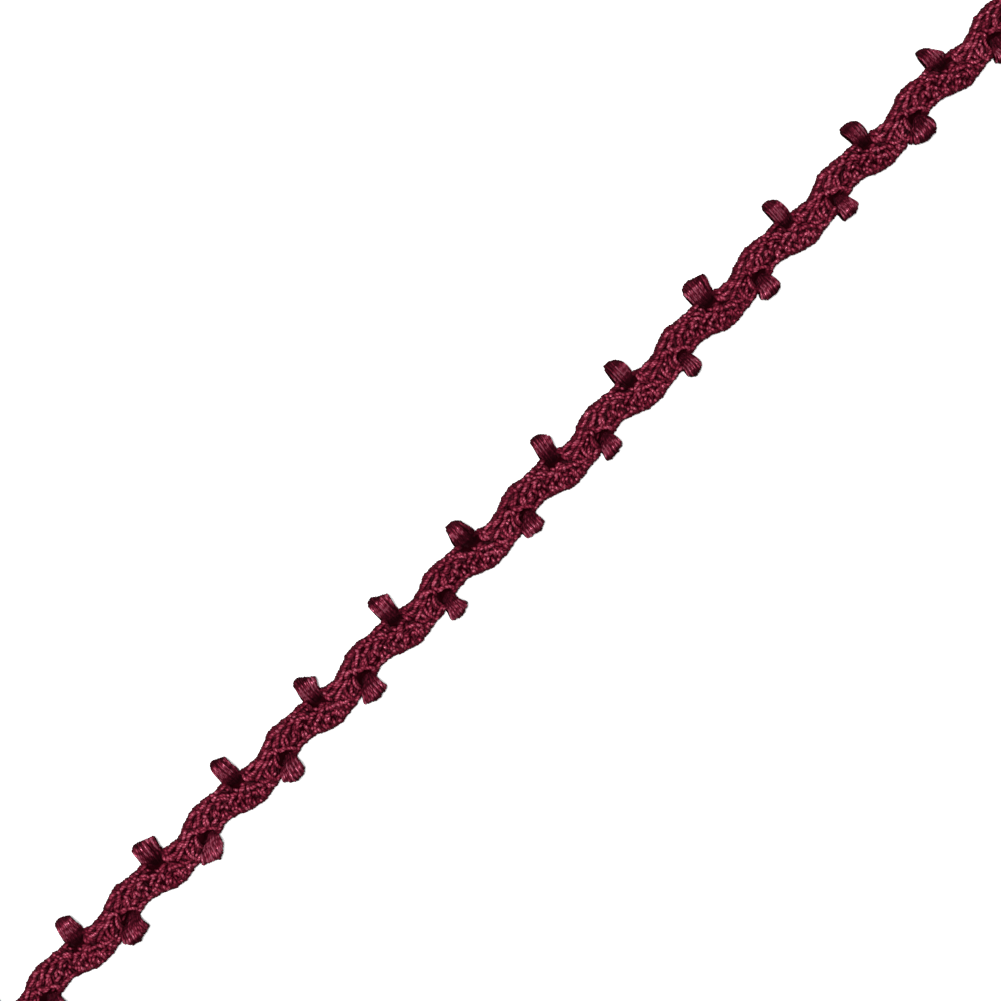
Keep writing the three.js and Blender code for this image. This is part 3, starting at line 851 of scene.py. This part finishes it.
def loop_shape(sizes, row, loop, rng, steps=32, sides=6):
    """One picot loop: parallel threads that lie side by side. Across share a of the band, a thread goes
    out to the reach of the tip there, which falls from the crest to each corner as a power of the way,
    along the common middle line of shares and heights, and slants along the trim as it turns under."""
    at, root, lean, tip, left, crest, right, sway, lit_from, lit_to, fold, crest_at, *powers = loop
    count, foot, swing, rise, lift = sizes.threads, 0.03, 0.05, 0.12, 0.035
    each = (count, 1)
    line = even_line(stacked(np.array(THREAD_OUT) * THREAD_REACH, THREAD_UP), steps)
    out, up = line[None, :, 0] / line[:, 0].max(), line[None, :, 1]
    run = np.linspace(0, 1, steps)[None]
    a = np.linspace(-1, 1, count)[:, None]
    far = np.where(a < crest_at, -1 - crest_at, 1 - crest_at)
    corner, power = np.where(a < crest_at, left, right), np.where(a < crest_at, *powers)
    reach = crest + (corner - crest) * np.abs((a - crest_at) / far) ** power
    reach = reach + row["past"] + rng.normal(0, row["ragged"], each)
    start = row["pocket"] + POCKET_ARCH * a**2
    edge_share = (abs(float(edge_at(row["edge"], at))) - row["pocket"]) / (crest - row["pocket"])
    opening, toward_tip = smooth(0.02, edge_share, out), smooth(edge_share, 1, out) ** row["flare"]
    width = POCKET_WIDTH + (root + ROOT_PAST - POCKET_WIDTH) * opening \
        + (tip + TIP_PAST - root) * toward_tip
    radius = 0.6 * width / count * (1 + 0.2 * np.exp(-((run - 0.55) / 0.08) ** 2) * np.ones_like(a))
    turned = smooth(0.55, 1.0, run)
    middle = at + sway * (1 - opening) - 0.1 * opening + lean * toward_tip - SLANT * turned
    wave = swing * np.sin(2 * np.pi * (run * rng.uniform(0.8, 1.6, each) + rng.uniform(0, 1, each)))
    x = middle + a * (width / 2 - radius) + wave * smooth(0, 0.3, run)
    y = start + (reach - radius - start) * out
    bulge = rise * (1 - a**2) * smooth(0.3, 0.6, out) * (1 - turned)
    z = up + bulge + rng.normal(0, lift, each) * smooth(0, 0.3, out)
    folded = np.exp(-((a - fold) / FOLD_WIDTH) ** 2) * (fold != 0)
    folded = folded * smooth(0.35, 0.5, out) * (1 - smooth(0.42, 0.5, run))
    z = np.maximum(z - FOLD_DEPTH * folded, radius + foot)
    shade = thread_light(row, lit_from, lit_to, y, run, folded, rng)
    return tubes(stacked(x, row["way"] * y, z), radius, -row["way"] * ALONG, sides, shade,
                 ply=0.05, pitch=THREAD_PITCH, first_turn=rng.uniform(0, 6.28, each))


# Operators

class TRIM_OT_core(bpy.types.Operator):
    """Makes the core of the braid, which stands for its solid and is painted dark as the shade under the
    stitches.
    """
    bl_idname, bl_label = "trim.core", "Braid core"

    def execute(self, context):
        new_piece("braid_core", core_shape(), "core yarn in painted shade", ["braid_body"])
        return {"FINISHED"}


class TRIM_OT_face(bpy.types.Operator):
    """Makes the stitches of the face, in three lengths of the trim."""
    bl_idname, bl_label = "trim.face", "Face stitches"

    def execute(self, context):
        thirds = face_stitches(context.scene.trim_sizes, np.random.default_rng(11))
        for name, shape in zip(("left", "middle", "right"), thirds):
            new_piece("face_stitches_" + name, shape, "braid yarn")
        return {"FINISHED"}


class TRIM_OT_under(bpy.types.Operator):
    """Makes the stitches in the gaps of the face, painted dim as their shade, and the yarns cut through at
    both ends.
    """
    bl_idname, bl_label = "trim.under", "Stitches in the gaps"

    def execute(self, context):
        rng = np.random.default_rng(14)
        new_piece("under_stitches", joined([under_stitches(rng), cut_ends(rng)]), "braid yarn")
        return {"FINISHED"}


class TRIM_OT_back(bpy.types.Operator):
    """Makes the plain stitches of the back."""
    bl_idname, bl_label = "trim.back", "Back stitches"

    def execute(self, context):
        new_piece("back_stitches", back_stitches(np.random.default_rng(12)), "braid yarn")
        return {"FINISHED"}


class TRIM_OT_edges(bpy.types.Operator):
    """Makes the plied cords along both wavy edges."""
    bl_idname, bl_label = "trim.edges", "Edge cords"

    def execute(self, context):
        rng = np.random.default_rng(13)
        for name, edge, way in (("upper", UPPER_EDGE, 1), ("lower", LOWER_EDGE, -1)):
            shape = edge_cords(context.scene.trim_sizes, edge, way, rng)
            new_piece("edge_cords_" + name, shape, "edge yarn")
        return {"FINISHED"}


def make_loops(row, name, seed):
    """One piece for each loop of a row, standing for its own node."""
    rng = np.random.default_rng(seed)
    for number, loop in enumerate(row["loops"], 1):
        shape = loop_shape(bpy.context.scene.trim_sizes, row, loop, rng)
        new_piece(f"threads_{name}_{number:02d}", shape, "loop silk", [f"loop_{name}_{number:02d}"])


class TRIM_OT_upper_loops(bpy.types.Operator):
    """Makes the picot loops of the upper edge."""
    bl_idname, bl_label = "trim.upper_loops", "Upper loops"

    def execute(self, context):
        make_loops(UPPER_ROW, "upper", 21)
        return {"FINISHED"}


class TRIM_OT_lower_loops(bpy.types.Operator):
    """Makes the picot loops of the lower edge."""
    bl_idname, bl_label = "trim.lower_loops", "Lower loops"

    def execute(self, context):
        make_loops(LOWER_ROW, "lower", 22)
        return {"FINISHED"}


class TRIM_OT_cloth(bpy.types.Operator):
    bl_idname, bl_label = "trim.cloth", "Cut length"

    def execute(self, context):
        return {"FINISHED"}


def new_lamp(name, place, size, power):
    """A soft round lamp that looks at the middle of the trim."""
    lamp = bpy.data.lights.new(name, "AREA")
    lamp.shape, lamp.size, lamp.energy = "DISK", size, power
    light = bpy.data.objects.new(name, lamp)
    light.location, light.rotation_mode = place, "QUATERNION"
    light.rotation_quaternion = Vector([-value for value in place]).to_track_quat("-Z", "Y")
    bpy.context.scene.collection.objects.link(light)


class TRIM_OT_studio(bpy.types.Operator):
    """Makes the floor, the soft lights and the camera straight overhead."""
    bl_idname, bl_label = "trim.studio", "Studio"

    def execute(self, context):
        scene = context.scene
        mesh = bpy.data.meshes.new("floor")
        corners = [(x * FLOOR_REACH, y * FLOOR_REACH, 0) for x, y in ((-1, -1), (1, -1), (1, 1), (-1, 1))]
        mesh.from_pydata(corners, [], [(0, 1, 2, 3)])
        mesh.materials.append(Shader("pale floor").finish(
            Base_Color=tuple(scene.trim_colours.floor) + (1.0,), Roughness=0.8, Specular_IOR_Level=0.1))
        floor = bpy.data.objects.new("floor", mesh)
        scene.collection.objects.link(floor)
        for lamp in LAMPS:
            new_lamp(*lamp)
        world = bpy.data.worlds.new("studio")
        world.use_nodes = True
        backdrop = world.node_tree.nodes["Background"]
        backdrop.inputs["Color"].default_value = (1, 1, 1, 1)
        backdrop.inputs["Strength"].default_value = 0.04
        scene.world = world
        scene.view_settings.view_transform = "Standard"
        lens = bpy.data.cameras.new("camera")
        lens.lens, lens.sensor_width, lens.clip_start = 100.0, 36.0, 0.01
        camera = bpy.data.objects.new("camera", lens)
        across, along, level = VIEW_CENTRE
        away = PICTURE_WIDTH * lens.lens / lens.sensor_width
        camera.location = (across * MM, along * MM, (level + away) * MM)
        camera.rotation_euler = (0, 0, VIEW_TURN)
        scene.collection.objects.link(camera)
        scene.camera = camera
        return {"FINISHED"}


class TRIM_PT_panel(bpy.types.Panel):
    """Lists the trim's settings and the steps that make it."""
    bl_idname, bl_label = "TRIM_PT_panel", "Crochet trim"
    bl_space_type, bl_region_type, bl_category = "VIEW_3D", "UI", "Trim"

    def draw(self, context):
        for settings in (context.scene.trim_sizes, context.scene.trim_colours):
            for name in settings.__annotations__:
                self.layout.prop(settings, name)
        for operator in OPERATORS:
            self.layout.operator(operator.bl_idname)


OPERATORS = (TRIM_OT_core, TRIM_OT_face, TRIM_OT_under, TRIM_OT_back, TRIM_OT_edges,
             TRIM_OT_upper_loops, TRIM_OT_lower_loops, TRIM_OT_cloth, TRIM_OT_studio)
CLASSES = (TrimSizes, TrimColours, *OPERATORS, TRIM_PT_panel)


def register():
    for kind in CLASSES:
        bpy.utils.register_class(kind)
    bpy.types.Scene.trim_sizes = PointerProperty(type=TrimSizes)
    bpy.types.Scene.trim_colours = PointerProperty(type=TrimColours)


def unregister():
    del bpy.types.Scene.trim_sizes, bpy.types.Scene.trim_colours
    for kind in reversed(CLASSES):
        bpy.utils.unregister_class(kind)


def main():
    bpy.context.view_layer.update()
    register()
    for operator in OPERATORS:
        group, name = operator.bl_idname.split(".")
        getattr(getattr(bpy.ops, group), name)()


if __name__ == "__main__":
    main()
